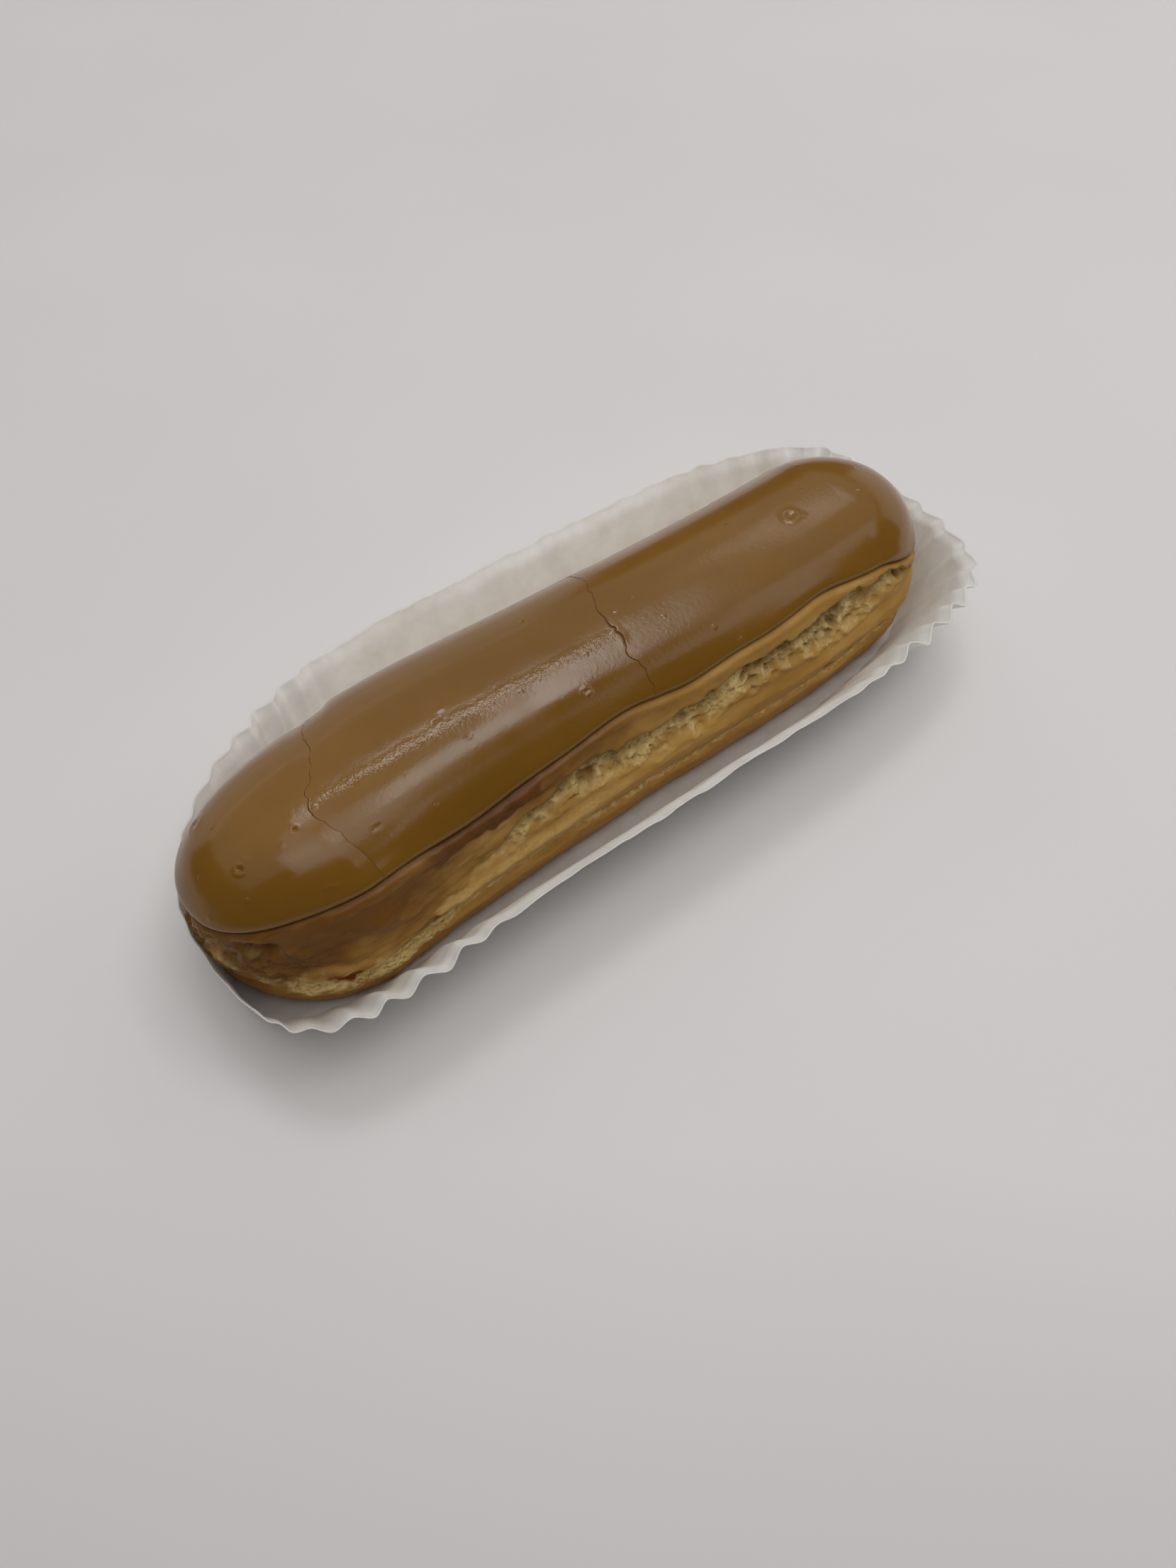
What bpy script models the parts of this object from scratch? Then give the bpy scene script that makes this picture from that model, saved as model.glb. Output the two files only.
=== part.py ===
"""A coffee eclair in its oblong paper case, at real size.

Units are metres and +Z is up. X runs along the eclair and Y across it. The origin is on the table,
under the middle of the whole. Three pieces lie on each other: the paper case, the choux bun in it,
and the coffee icing on the bun, which has cracked across in two places.
"""

import math

import bmesh
import bpy
from mathutils import Vector, noise

MM = 0.001

# Eclair, in millimetres. Lists run evenly from its left tip to its right tip.
LEFT_TIP = -65.5
RIGHT_TIP = 81.2
LEFT_END = 22.8
RIGHT_END = 18.6
HALF_WIDTHS = (18.0, 18.8, 18.0, 18.0, 17.5)
HEIGHTS = (33.0, 33.9, 32.6, 31.6, 31.0)
BOW = (-3.5, 1.3, 2.2, 2.3, 4.5)
ROUNDNESS = 2.35
GAP = 0.3

# Choux bun
WIDEST_SIDE = 0.39
WIDEST_TIP = 0.46
BASE_SIDE = 0.81
BASE_TIP = 0.76
TIP_INSET = 0.8
STATIONS = 33
END_COLUMNS = 24
DOME_RINGS = 6
RIDGE_LOW = (6.0, 2.4, 0.35)
RIDGE_HIGH = (14.6, 1.9, 0.55)
GROOVE = (10.9, 1.0, 0.9)
TEAR_DEPTH = 1.9
TEAR_FLOOR = 17.6
TEAR_ROOF = 19.6
TEAR_ROOF_RIGHT = 23.4
CRUMB_ROUGHNESS = 0.6

# Coffee icing
ICING_THICKNESS = 1.5
ICING_EDGE = 25.2
# At the left and the right tip: the height of the icing's edge, and how late it sinks to it.
ICING_EDGE_TIPS = ((22.2, 1.5), (15.6, 0.7))
ICING_SINK = (46.0, 66.0, 2.8)
ICING_RINGS = 8
CRACK_WIDTH = 0.6
CRACK_DEPTH = 1.0
CRACK_PULL = 12.0
# Each crack: where it crosses the middle, and how far it wanders, from the near edge to the far edge.
CRACKS = (
    (-40.5, (1.5, -0.8, -2.4, -3.4, -1.0, 1.0, 2.2, 4.2, 6.0)),
    (11.6, (0.6, -0.5, 0.6, -1.0, -1.2, 0.0, 0.8, 2.4, 4.2)),
)

# Paper case
PAPER = 0.35
FLOOR_MIDDLE = 6.8
FLOOR_HALF_LENGTH = 71.7
FLOOR_HALF_WIDTH = 19.4
FLOOR_BOW = (-1.8, 1.8, 2.0, 2.4, 4.2)
FLOOR_SQUARENESS = (3.8, 3.8, 4.0, 4.2)
RIM_MIDDLE = 10.2
RIM_HALF_LENGTH = 76.2
RIM_HALF_WIDTH = 31.6
RIM_BOW = (-8.0, 2.2, 3.4, 3.6, 5.0)
# Squareness of the far right, far left, near left and near right corners.
RIM_SQUARENESS = (3.3, 3.8, 2.9, 4.6)
RIM_HEIGHTS = (17.0, 18.0, 15.6, 19.3)
PLEAT = 6.2
PLEAT_DEPTH = 0.85
POINTS_PER_PLEAT = 4
PLAIN_SPACING = 6.5
WALL_RINGS = 4


def blend(low, high, share):
    """Between two values, with share from 0 to 1."""
    return low + (high - low) * share


def step(value, start, end):
    """A smooth step from 0 at start to 1 at end."""
    share = min(1.0, max(0.0, (value - start) / (end - start)))
    return share * share * (3.0 - 2.0 * share)


def bump(value, middle, width):
    """A smooth hump of height 1 round middle."""
    return math.exp(-(((value - middle) / width) ** 2))


def through(values, share):
    """The smooth curve through evenly spaced values, at share from 0 to 1 of its run."""
    place = min(1.0, max(0.0, share)) * (len(values) - 1)
    index = min(int(place), len(values) - 2)
    t = place - index
    before = values[max(index - 1, 0)]
    here, there = values[index], values[index + 1]
    after = values[min(index + 2, len(values) - 1)]
    return 0.5 * (
        2.0 * here
        + (there - before) * t
        + (2.0 * before - 5.0 * here + 4.0 * there - after) * t**2
        + (3.0 * here - before - 3.0 * there + after) * t**3
    )


def power(value, exponent):
    """A power that keeps the sign."""
    return math.copysign(abs(value) ** exponent, value)


class Column:
    """One upright line of points round the eclair: its foot on the spine and the way it faces."""

    def __init__(self, x, turn):
        self.x = x
        self.lengthwise = math.sin(turn)
        self.across = -math.cos(turn)
        self.end = RIGHT_END if self.lengthwise > 0 else LEFT_END
        share = (x - LEFT_TIP) / (RIGHT_TIP - LEFT_TIP)
        self.half_width = through(HALF_WIDTHS, share)
        self.height = through(HEIGHTS, share)
        self.bow = through(BOW, share)
        self.tip = self.lengthwise**2

    def point(self, rho, z, inset=0.0, shift=0.0):
        """A point at share rho of the way from the spine to the widest outline, less the inset."""
        x = self.x + shift + self.lengthwise * (rho * self.end - inset)
        y = self.bow + self.across * (rho * self.half_width - inset)
        return Vector((x, y, z))


def even_stations():
    start, end = LEFT_TIP + LEFT_END, RIGHT_TIP - RIGHT_END
    return [blend(start, end, i / (STATIONS - 1)) for i in range(STATIONS)]


def stations():
    """Even stations along the spine, with three close ones at each crack of the icing."""
    middles = [middle for middle, _ in CRACKS]
    plain = [x for x in even_stations() if all(abs(x - middle) > 1.6 for middle in middles)]
    close = [m + side * CRACK_WIDTH / 2.0 for m in middles for side in (-1.0, 0.0, 1.0)]
    return sorted(plain + close)


def columns():
    """The columns round the eclair, from the left end of the near side, and each one's spine foot."""
    spine = stations()
    found = [Column(x, 0.0) for x in spine]
    feet = list(range(len(spine)))
    turns = [math.pi * i / END_COLUMNS for i in range(1, END_COLUMNS)]
    found += [Column(spine[-1], turn) for turn in turns]
    feet += [len(spine) - 1] * len(turns)
    found += [Column(x, math.pi) for x in reversed(spine)]
    feet += list(reversed(range(len(spine))))
    found += [Column(spine[0], math.pi + turn) for turn in turns]
    feet += [0] * len(turns)
    return found, feet


def widest_height(column):
    return blend(WIDEST_SIDE, WIDEST_TIP, column.tip) * column.height


def side_outline(column, z):
    """How far out the plain side of the eclair is at a height, as a share."""
    widest = widest_height(column)
    base = blend(BASE_SIDE, BASE_TIP, column.tip)
    if z >= widest:
        rise = (z - widest) / (column.height - widest)
        return (1.0 - rise**ROUNDNESS) ** (1.0 / ROUNDNESS)
    lean = max(0.0, 1.0 - z / widest) ** (1.0 / 1.2)
    return base + (1.0 - base) * (1.0 - lean**2) ** 0.4


def dome(column, share, inset):
    """The rounded top from the widest place, share 0, to the spine, share 1: (rho, z)."""
    widest = widest_height(column)
    turn = share * math.pi / 2.0
    rho = math.cos(turn) ** (2.0 / ROUNDNESS)
    rise = math.sin(turn) ** (2.0 / ROUNDNESS)
    return rho, widest + (column.height - inset - widest) * rise


def dome_share(column, z, inset):
    """The share along the dome at a height."""
    widest = widest_height(column)
    rise = (z - widest) / (column.height - inset - widest)
    return math.asin(rise ** (ROUNDNESS / 2.0)) * 2.0 / math.pi


def tear_roof(column):
    """The top of the torn band, which opens towards the right."""
    roof = blend(TEAR_ROOF, TEAR_ROOF_RIGHT, step(column.x, -20.0, 40.0))
    return min(roof, column_edge(column) - 1.9)


def tear_floor(column):
    """The bottom of the torn band."""
    return min(TEAR_FLOOR, tear_roof(column) - 2.0)


def tear_strength(column):
    """How deep the torn band is: open from the middle to the right tip, closed at the left."""
    near = step(column.x, -30.0, -8.0)
    wander = 0.8 + 0.5 * noise.noise(Vector((column.x * 0.09, column.across * 3.0, 4.0)))
    return near * wander


def crags(point, strength):
    """Small hollows and crests of torn crumb."""
    coarse = noise.noise(point * 0.35)
    fine = noise.noise(point * 0.9 + Vector((7.0, 3.0, 1.0)))
    return strength * CRUMB_ROUGHNESS * (coarse + 0.8 * fine)


def bun_inset(column, z):
    """How far the bun's baked side lies inside the plain outline: piped ridges, groove and tear."""
    inset = TIP_INSET * column.tip + 0.25
    for middle, width, size in (RIDGE_LOW, RIDGE_HIGH):
        inset -= size * bump(z, middle, width)
    inset += GROOVE[2] * bump(z, GROOVE[0], GROOVE[1])
    roof, floor = tear_roof(column), tear_floor(column)
    torn = step(z, floor - 0.9, floor + 0.5) * (1.0 - step(z, roof - 0.4, roof + 0.8))
    strength = torn * tear_strength(column)
    inset += TEAR_DEPTH * strength
    left_crags = step(-column.x, 30.0, 45.0) * step(z, 7.0, 10.0) * (1.0 - step(z, 19.0, 22.0))
    rough = max(strength, 0.6 * left_crags, 0.15)
    under_icing = step(z, column_edge(column) - 2.6, column_edge(column) - 0.4)
    inset = blend(inset, max(inset, ICING_THICKNESS + GAP), under_icing)
    return inset + crags(column.point(1.0, z), rough) * (1.0 - under_icing)


def column_edge(column):
    """The height of the icing's edge, which sinks towards both tips, most at the right one."""
    wave = 0.5 * math.sin(column.x * 0.11 + 1.0) + 0.25 * math.sin(column.x * 0.31)
    side = ICING_EDGE + wave - ICING_SINK[2] * step(column.x, ICING_SINK[0], ICING_SINK[1])
    tip, late = ICING_EDGE_TIPS[1 if column.lengthwise > 0.0 else 0]
    return blend(side, tip, column.tip**late)


def bun_heights(column):
    """The heights of a column's points, from the flat underside to where the icing begins."""
    floor, roof, edge = tear_floor(column), tear_roof(column), column_edge(column)
    squeeze = min(1.0, (floor - 1.6) / 14.6)
    heights = [PAPER + GAP, 1.4]
    heights += [z * squeeze for z in (3.2, 6.0, 8.6, 10.2, 10.9, 11.8, 13.2, 14.6)]
    heights += [floor - 0.9, floor - 0.1, floor + 0.5, (floor + roof) / 2.0, roof - 0.3]
    heights += [roof + 0.6, (roof + edge) / 2.0 + 0.3, edge - 0.3]
    return heights


def bun_rings(around):
    """Rings of points up the bun's side and over its top, which lies under the icing."""
    side = []
    for column in around:
        line = []
        for z in bun_heights(column):
            rho = side_outline(column, z)
            follow = step(z, 16.0, column_edge(column) - 1.0)
            shift = follow * crack_shift(column, rho)
            line.append(column.point(rho, z, bun_inset(column, z), shift))
        side.append(line)
    rings = [list(ring) for ring in zip(*side)]
    return rings + under_icing_rings(around, ICING_THICKNESS + GAP)


def under_icing_rings(around, inset):
    """Rings over the dome at an inset, from just above the icing's edge nearly to the spine."""
    rings = []
    for ring in range(DOME_RINGS):
        points = []
        for column in around:
            start = dome_share(column, column_edge(column) + 0.6, ICING_THICKNESS)
            points.append(icing_point(column, blend(start, 1.0, ring / DOME_RINGS), inset))
        rings.append(points)
    return rings


def closed_mesh(name, rings, around, feet, top_height):
    """A closed mesh from a flat underside, through the rings, to a row of points along the spine."""
    mesh = bmesh.new()
    rows = [[mesh.verts.new(p * MM) for p in ring] for ring in rings]
    spine = spine_points(mesh, around, feet, top_height)
    mesh.faces.new(list(reversed(rows[0])))
    for lower, upper in zip(rows, rows[1:]):
        join(mesh, lower, upper)
    cap(mesh, rows[-1], spine, feet)
    return finished(mesh, name)


def spine_points(mesh, around, feet, height_of):
    """One point on the spine for each station."""
    spine = {}
    for column, foot in zip(around, feet):
        if foot not in spine:
            spine[foot] = mesh.verts.new(Vector((column.x, column.bow, height_of(column))) * MM)
    return spine


def join(mesh, lower, upper):
    """A band of four-sided faces between two rings."""
    count = len(lower)
    for i in range(count):
        j = (i + 1) % count
        mesh.faces.new((lower[i], lower[j], upper[j], upper[i]))


def cap(mesh, ring, spine, feet, flip=False):
    """Faces from the last ring to the spine."""
    count = len(ring)
    for i in range(count):
        j = (i + 1) % count
        corners = [ring[i], ring[j], spine[feet[j]]]
        if feet[i] != feet[j]:
            corners.append(spine[feet[i]])
        mesh.faces.new(list(reversed(corners)) if flip else corners)


def finished(mesh, name):
    """The object of a mesh, with its faces pointing out."""
    bmesh.ops.recalc_face_normals(mesh, faces=mesh.faces)
    data = bpy.data.meshes.new(name)
    mesh.to_mesh(data)
    mesh.free()
    data.shade_smooth()
    made = bpy.data.objects.new(name, data)
    bpy.context.scene.collection.objects.link(made)
    return made


def choux_bun():
    """The baked bun: flat underside, two piped ridges, and a torn band of crumb along each side."""
    around, feet = columns()
    inset = ICING_THICKNESS + GAP
    return closed_mesh(
        "choux_bun", bun_rings(around), around, feet, lambda column: column.height - inset
    )


def crack_shift(column, rho):
    """How far a point follows the wandering of the nearest crack."""
    across = column.across * rho
    shift = 0.0
    for middle, wander in CRACKS:
        far = max(0.0, abs(column.x - middle) - CRACK_WIDTH / 2.0)
        shift += through(wander, (across + 1.0) / 2.0) * (1.0 - step(far, 0.0, CRACK_PULL))
    return shift * (1.0 - column.tip)


def crack_depth(column):
    """The depth of the crack at a column: full on its middle line, and none beside it."""
    on_line = any(abs(column.x - middle) < 1e-6 for middle, _ in CRACKS)
    return CRACK_DEPTH if on_line and column.tip < 0.01 else 0.0


def icing_point(column, share, inset):
    """A point on the icing, inset from its outer face."""
    rho, z = dome(column, share, inset)
    swell = 0.25 * noise.noise(Vector((column.x * 0.07, column.across * rho * 1.4, 9.0)))
    drop = inset if inset > 0.0 else -swell * (1.0 - share**4) * (1.0 - column.tip)
    return column.point(rho, z, drop * min(1.0, rho * 2.0), crack_shift(column, rho))


def icing_rings(around):
    """Rings from inside at the spine, down the inner face, round the lip and up the outer face."""
    outer_start = [dome_share(c, column_edge(c) + 0.9, 0.0) for c in around]
    rings = list(reversed(under_icing_rings(around, ICING_THICKNESS)))
    for drop, inset in ((0.05, 0.95), (0.0, 0.45), (0.35, 0.08)):
        rings.append([lip_point(c, drop, inset * ICING_THICKNESS) for c in around])
    for ring in range(ICING_RINGS):
        share = ring / ICING_RINGS
        points = []
        for column, start in zip(around, outer_start):
            depth = crack_depth(column) * step(ring, -1.0, 2.0)
            points.append(icing_point(column, blend(start, 1.0, share), depth))
        rings.append(points)
    return rings


def lip_point(column, rise, inset):
    """A point of the icing's rounded lower edge."""
    z = column_edge(column) + rise
    rho, _ = dome(column, dome_share(column, z, 0.0), 0.0)
    return column.point(rho, z, inset, crack_shift(column, rho))


def coffee_icing():
    """The icing: a thick skin over the top of the bun, with a rounded lip and two cracks."""
    around, feet = columns()
    mesh = bmesh.new()
    rows = [[mesh.verts.new(p * MM) for p in ring] for ring in icing_rings(around)]
    inner = spine_points(mesh, around, feet, lambda column: column.height - ICING_THICKNESS)
    outer = spine_points(mesh, around, feet, lambda column: column.height - crack_depth(column))
    cap(mesh, rows[0], inner, feet, flip=True)
    for lower, upper in zip(rows, rows[1:]):
        join(mesh, lower, upper)
    cap(mesh, rows[-1], outer, feet)
    return finished(mesh, "coffee_icing")


def round_values(values, turn):
    """Between the values of the four quarters, whose middles are an eighth of a turn apart."""
    place = (turn / (2.0 * math.pi) * 4.0 - 0.5) % 4.0
    index = int(place)
    return blend(values[index], values[(index + 1) % 4], step(place - index, 0.0, 1.0))


def oblong(turn, middle, half_length, half_width, bow, squareness):
    """A point of a rounded oblong outline that bends with the eclair."""
    exponent = 2.0 / round_values(squareness, turn)
    along = power(math.cos(turn), exponent)
    across = power(math.sin(turn), exponent)
    y = through(bow, 0.5 + 0.5 * along) + half_width * across
    return Vector((middle + half_length * along, y, 0.0))


def foot_point(turn):
    """The fold between the floor and the wall."""
    sizes = (FLOOR_MIDDLE, FLOOR_HALF_LENGTH, FLOOR_HALF_WIDTH, FLOOR_BOW, FLOOR_SQUARENESS)
    return oblong(turn, *sizes)


def rim_point(turn):
    """The middle line of the pleated rim."""
    point = oblong(turn, RIM_MIDDLE, RIM_HALF_LENGTH, RIM_HALF_WIDTH, RIM_BOW, RIM_SQUARENESS)
    point.z = round_values(RIM_HEIGHTS, turn + math.pi / 4.0)
    return point


def pleating(point):
    """How deep the pleats are: full round both ends, none along the sides, slight at the left tip."""
    left = step(-point.x, blend(24.0, 14.0, step(point.y, 0.0, 10.0)), 38.0)
    right = step(point.x, blend(36.0, 48.0, step(point.y, 0.0, 10.0)), 62.0)
    pressed = step(-point.x, 58.0, 64.0) * step(point.y, -24.0, -16.0)
    return max(left, right) * (1.0 - 0.7 * pressed)


def case_turns():
    """The turns at which the case has points: four to a pleat, and fewer along the plain sides."""
    fine = 6000
    turns = [2.0 * math.pi * i / fine for i in range(fine + 1)]
    points = [rim_point(turn) for turn in turns]
    sums = [0.0]
    for here, there in zip(points, points[1:]):
        close = POINTS_PER_PLEAT / PLEAT if pleating(here) > 0.01 else 1.0 / PLAIN_SPACING
        sums.append(sums[-1] + (there - here).length * close)
    count = POINTS_PER_PLEAT * round(sums[-1] / POINTS_PER_PLEAT)
    found, index = [], 0
    for i in range(count):
        target = sums[-1] * i / count
        while sums[index + 1] < target:
            index += 1
        found.append(blend(turns[index], turns[index + 1], 0.5))
    return found


def case_point(index, turn, rise, inward):
    """A point of the wall at share rise of its height, moved inward by the paper's thickness."""
    foot, rim = foot_point(turn), rim_point(turn)
    slope = (rim - foot).normalized()
    along = (rim_point(turn + 0.01) - rim_point(turn - 0.01)).normalized()
    facing = along.cross(slope).normalized()
    fold = math.sin(2.0 * math.pi * index / POINTS_PER_PLEAT)
    uneven = 1.0 + 0.35 * noise.noise(Vector((index * 0.21, 2.0, 0.0)))
    depth = PLEAT_DEPTH * pleating(rim) * uneven * rise**0.8
    point = foot.lerp(rim, rise) + facing * (fold * depth - inward)
    point.z = max(point.z, inward)
    return point


def paper_case():
    """The paper case: a flat oblong floor and a leaning wall, pleated round both ends."""
    turns = case_turns()
    mesh = bmesh.new()
    rises = [i / WALL_RINGS for i in range(WALL_RINGS + 1)]
    outside = [
        [mesh.verts.new(case_point(i, t, rise, 0.0) * MM) for i, t in enumerate(turns)]
        for rise in rises
    ]
    inside = [
        [mesh.verts.new(case_point(i, t, rise, PAPER) * MM) for i, t in enumerate(turns)]
        for rise in rises
    ]
    mesh.faces.new(list(reversed(outside[0])))
    mesh.faces.new(inside[0])
    for shell in (outside, inside):
        for lower, upper in zip(shell, shell[1:]):
            join(mesh, lower, upper)
    join(mesh, outside[-1], inside[-1])
    return finished(mesh, "paper_case")


def material(name, colour, roughness):
    made = bpy.data.materials.new(name)
    made.use_nodes = True
    shader = made.node_tree.nodes["Principled BSDF"]
    shader.inputs["Base Color"].default_value = (*colour, 1.0)
    shader.inputs["Roughness"].default_value = roughness
    shader.inputs["Metallic"].default_value = 0.0
    return made


def stand_on_origin(pieces):
    """Moves the pieces so that the middle of their common box is over the origin."""
    corners = [v.co for piece in pieces for v in piece.data.vertices]
    middle_x = (min(c.x for c in corners) + max(c.x for c in corners)) / 2.0
    middle_y = (min(c.y for c in corners) + max(c.y for c in corners)) / 2.0
    for piece in pieces:
        for vertex in piece.data.vertices:
            vertex.co.x -= middle_x
            vertex.co.y -= middle_y


def main():
    for old in list(bpy.data.objects):
        bpy.data.objects.remove(old)
    case, bun, icing = paper_case(), choux_bun(), coffee_icing()
    case.data.materials.append(material("white_paper", (0.74, 0.72, 0.69), 0.75))
    bun.data.materials.append(material("baked_choux", (0.42, 0.24, 0.08), 0.6))
    icing.data.materials.append(material("coffee_icing", (0.22, 0.11, 0.03), 0.25))
    stand_on_origin([case, bun, icing])


main()
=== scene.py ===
"""A coffee eclair in its pleated paper case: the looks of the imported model."""

import math

import bpy
import numpy as np
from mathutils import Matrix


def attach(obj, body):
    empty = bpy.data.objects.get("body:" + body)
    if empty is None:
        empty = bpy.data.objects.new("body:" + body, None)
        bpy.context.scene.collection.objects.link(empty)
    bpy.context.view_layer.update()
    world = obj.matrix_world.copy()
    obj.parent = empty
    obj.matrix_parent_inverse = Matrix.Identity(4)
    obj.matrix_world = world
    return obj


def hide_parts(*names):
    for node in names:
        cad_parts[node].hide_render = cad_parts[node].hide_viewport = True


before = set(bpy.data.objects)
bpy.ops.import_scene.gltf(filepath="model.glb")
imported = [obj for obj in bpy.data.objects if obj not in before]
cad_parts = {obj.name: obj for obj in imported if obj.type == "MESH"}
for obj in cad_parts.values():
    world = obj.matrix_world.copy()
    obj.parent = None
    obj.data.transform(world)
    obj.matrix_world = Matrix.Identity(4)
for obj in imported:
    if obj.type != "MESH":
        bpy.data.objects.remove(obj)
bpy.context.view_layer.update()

MM = 0.001
# Points closer together than this, in metres, become one.
SAME_PLACE = 1e-7

# Millimetres from here on. The eclair is measured from a point near its middle, and MIDDLE is where
# the frame's origin lies on those measures. Lists run from the left tip to the right tip.
MIDDLE = (10.4431, 2.7144)
LEFT_TIP = -65.5
RIGHT_TIP = 81.2
LEFT_END = 22.8
RIGHT_END = 18.6
HALF_WIDTHS = (18.0, 18.8, 18.0, 18.0, 17.5)
HEIGHTS = (33.0, 33.9, 32.6, 31.6, 31.0)
BOW = (-3.5, 1.3, 2.2, 2.3, 4.5)
ROUNDNESS = 2.35
# At the sides and at the tips: how high the widest place is, and how wide the base is, as shares.
WIDEST = (0.39, 0.46)
BASE = (0.81, 0.76)
TIP_INSET = 0.8
GAP = 0.3
# Rings of points in the surfaces that the icing hides: its underside, and the top of the bun.
HIDDEN_RINGS = 13
# Points are closer along the spine round each crack: how many more, and over what half width.
SPINE_SAMPLES = 40001
CRACK_POINTS = (22.0, 0.42)

# Choux bun. Each ridge: its height, half its width, and how far it stands out.
BUN_SPACING = 0.43
BUN_ARC = 128
BUN_RINGS = 108
RIDGE_LOW = (6.0, 2.4, 0.35)
RIDGE_HIGH = (12.6, 2.0, 0.75)
# The seam between the ridges, at the left and at the right: its height, and half its width.
SEAM_HEIGHTS = (10.2, 8.6)
SEAM_WIDTHS = (3.1, 0.75)
# How low the glaze ran down the crust, at the left end and where it stops.
GLAZE_FLOOR = (14.0, 20.3)
# The torn band opens from one x to the other.
TEAR_OPENS = (-33.0, -12.0)
TEAR_DEPTH = 1.9
# The torn band's floor and roof stand at even steps along the bun from its start.
TEAR_START = -20.0
TEAR_STEP = 12.0
TEAR_FLOOR = (15.0, 15.3, 14.8, 14.2, 15.2, 15.6, 15.4, 17.6, 18.2)
TEAR_ROOF = (19.4, 22.0, 21.2, 21.0, 22.0, 22.2, 22.6, 23.2, 22.4)
TEAR_BELOW_ICING = 1.3
TEAR_LEAST_HEIGHT = 2.0
# Holes of the crust: x, y, z on the frame, half length, half height, depth, and how orange inside.
POCKETS = (
    (-60.6, -20.4, 10.4, 3.3, 2.9, 0.25, 1.0),
    (-47.0, -21.0, 12.4, 2.8, 1.7, 0.5, 0.3),
    (-43.2, -20.4, 11.2, 2.8, 1.8, 0.5, 0.5),
    (-69.3, -14.4, 20.4, 3.8, 1.9, 1.5, 0.5),
    (-74.1, -8.2, 19.0, 2.6, 2.0, 1.5, 0.3),
    (-73.8, -10.4, 14.6, 2.2, 1.0, 1.0, 0.2),
    (-75.6, -3.0, 16.4, 2.0, 1.3, 1.2, 0.3),
    (-13.9, -18.2, 18.6, 2.3, 1.5, 1.3, 0.2),
    (38.5, -18.0, 9.4, 1.9, 1.0, 0.7, 0.9),
    (44.5, -17.6, 9.8, 1.0, 0.7, 0.6, 0.5),
    (57.0, -15.2, 19.4, 1.3, 1.0, 0.9, 0.2),
    (64.0, -12.4, 15.0, 1.2, 1.0, 0.9, 0.2),
    (-52.4, 17.5, 12.0, 2.2, 1.0, 1.0, 0.6),
    (28.0, 19.0, 17.5, 1.6, 0.9, 1.0, 0.2),
)
# Puffs of the crust: x, y, z on the frame, half length, half height, how far out, and how pale.
PUFFS = (
    (-53.4, -21.2, 19.6, 3.4, 2.2, 0.70, 0.0),
    (-48.7, -20.8, 17.2, 2.6, 1.9, 0.60, 0.0),
    (-48.4, -21.0, 13.4, 2.2, 1.2, 0.50, 0.3),
    (-72.5, -10.8, 16.8, 2.0, 1.5, 0.60, 0.2),
    (-70.6, -13.4, 18.2, 1.7, 2.0, 0.55, 1.0),
    (-66.4, -16.8, 16.6, 3.0, 1.3, 0.35, 0.0),
    (-57.5, -20.8, 16.0, 4.0, 1.0, 0.30, 0.0),
)

# Coffee icing
ICING_SPACING = 0.52
ICING_ARC = 100
ICING_RINGS = 108
ICING_THICKNESS = 1.5
LIP_POINTS = 9
ICING_EDGE = 25.4
# The edge's height at the left and the right tip, and how late round the end it sinks to it.
ICING_EDGE_TIPS = ((22.2, 1.5), (15.6, 0.7))
# Along the right part of the sides the edge sinks, from one x to another, by this much.
ICING_SINK = (46.0, 66.0, 2.8)
# Each crack: where it crosses the middle, and how it wanders from the near edge to the far edge.
CRACKS = (
    (
        -40.5,
        (1.6, 0.7, 0.0, -1.2, -1.9, -2.9, -3.9, -2.9, -1.1, 0.5, 1.3, 2.0, 2.6, 4.0, 5.5, 6.2, 6.8),
    ),
    (
        11.6,
        (0.6, 0.2, 0.0, -0.1, -1.1, -0.6, -0.4, -0.6, -0.3, 0.5, 1.4, 2.4, 2.8, 2.9, 3.2, 4.0, 4.4),
    ),
)
# Half the width of each crack, along the same run.
CRACK_WIDTHS = (
    (0.05,) * 4 + (0.06, 0.07, 0.09, 0.06, 0.05) + (0.04,) * 8,
    (0.05,) * 4 + (0.07, 0.12, 0.17, 0.12, 0.06) + (0.05,) * 3 + (0.04,) * 5,
)
CRACK_DEPTH = 0.22
CRACK_PULL = 12.0
# Bubbles and dents of the icing: x, y on the frame, radius, rim height, depth of the middle.
BLISTERS = (
    (-66.5, -8.4, 0.60, 0.22, 0.40),
    (-65.2, -8.0, 0.60, 0.16, 0.00),
    (-67.8, 3.8, 0.95, 0.16, 0.10),
    (-57.7, -8.7, 0.50, 0.05, 0.40),
    (-60.2, -9.5, 0.35, 0.10, 0.00),
    (41.3, -1.3, 1.30, 0.18, 0.12),
    (43.2, -2.6, 0.60, 0.12, 0.00),
    (-32.0, -4.6, 0.42, 0.10, 0.75),
    (-30.6, -3.2, 0.40, 0.12, 0.00),
    (-58.0, -16.5, 0.30, 0.22, 0.00),
    (-57.0, -16.9, 0.28, 0.18, 0.00),
    (-29.5, -9.1, 0.40, 0.14, 0.00),
    (-9.5, -11.0, 0.50, 0.12, 0.15),
    (-48.0, -13.6, 0.50, 0.05, 0.25),
    (55.6, -3.0, 0.30, 0.00, 0.35),
)

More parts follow.
